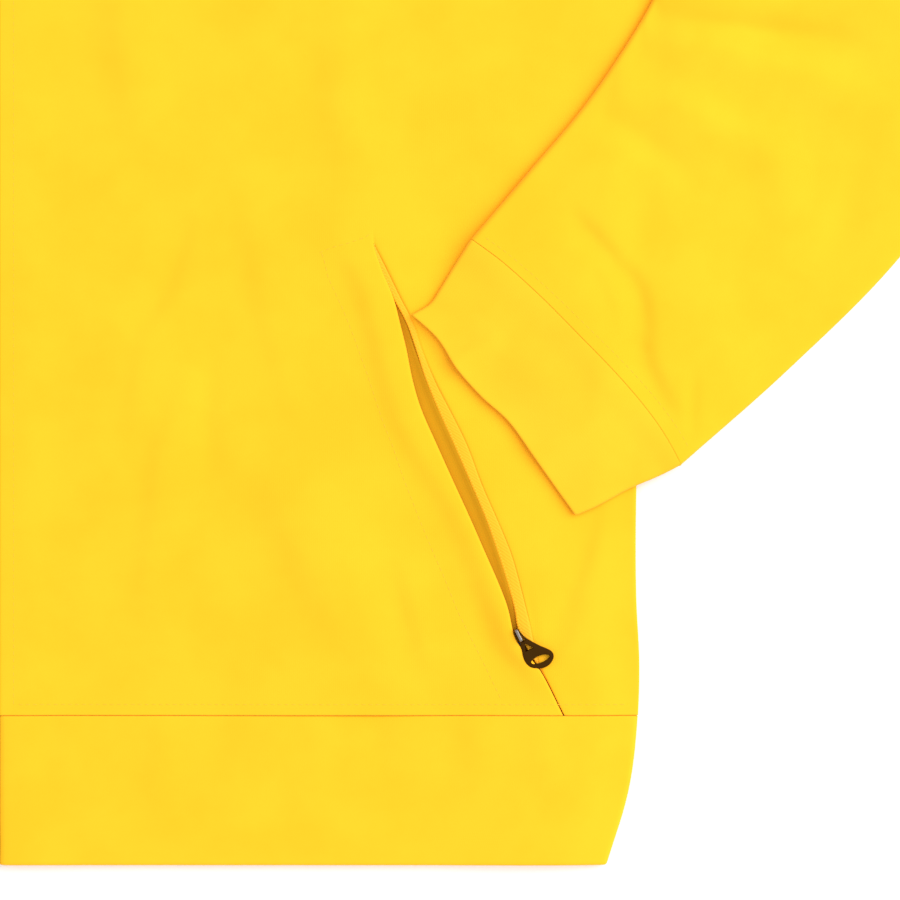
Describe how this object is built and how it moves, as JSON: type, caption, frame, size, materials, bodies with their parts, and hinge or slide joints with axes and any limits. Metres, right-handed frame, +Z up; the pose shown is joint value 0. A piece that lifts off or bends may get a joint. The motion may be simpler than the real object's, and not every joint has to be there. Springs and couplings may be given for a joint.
{
  "type": "track jacket",
  "caption": "Plain yellow zip-front track jacket laid out flat, forearms folded in over the front, with a stand collar, banded cuffs and hem and slanted zip pockets.",
  "frame": {"origin": "On the floor under the middle of the laid-out jacket's bounding box", "axes": "+X toward the wearer's left, +Y from hem to collar, +Z up from the floor"},
  "size_m": [0.848, 0.755, 0.0147],
  "materials": {
    "jersey": "matte bonded jersey",
    "cuff_jersey": "matte bonded jersey, doubled",
    "pocket_lining": "matte knit",
    "zip_tape": "woven tape",
    "zip_teeth": "satin",
    "pull_plastic": "satin",
    "slider_metal": "satin"
  },
  "bodies": {
    "jacket": {"back": "jersey", "hem_band": "jersey", "collar": "jersey", "front_left": "jersey", "front_right": "jersey", "sleeve_left": "jersey", "sleeve_right": "jersey", "cuff_left": "cuff_jersey", "cuff_right": "cuff_jersey", "pocket_left_bag": "pocket_lining", "pocket_left_tape_side": "zip_tape", "pocket_left_tape_front": "zip_tape", "pocket_left_slider": "slider_metal", "zip_tape_left": "zip_tape", "pocket_right_bag": "pocket_lining", "pocket_right_tape_side": "zip_tape", "pocket_right_tape_front": "zip_tape", "pocket_right_slider": "slider_metal", "zip_tape_right": "zip_tape", "zip_chain": "zip_teeth", "zip_box": "pull_plastic", "zip_slider": "slider_metal"},
    "left_pocket_pull": {"pocket_left_pull": "pull_plastic"},
    "right_pocket_pull": {"pocket_right_pull": "pull_plastic"},
    "front_zip_pull": {"zip_pull": "pull_plastic"}
  },
  "joints": [
    {"name": "left_pocket_pull_swing", "type": "hinge", "parent": "jacket", "child": "left_pocket_pull", "pos_m": [0.21235, -0.28462, 0.00955], "axis": [-0.788, -0.6157, 0], "range_deg": [0, 165]},
    {"name": "right_pocket_pull_swing", "type": "hinge", "parent": "jacket", "child": "right_pocket_pull", "pos_m": [-0.21235, -0.28462, 0.00955], "axis": [-0.788, 0.6157, 0], "range_deg": [0, 165]},
    {"name": "front_zip_pull_swing", "type": "hinge", "parent": "jacket", "child": "front_zip_pull", "pos_m": [0, 0.29115, 0.00885], "axis": [-1, 0, 0], "range_deg": [0, 165]}
  ]
}
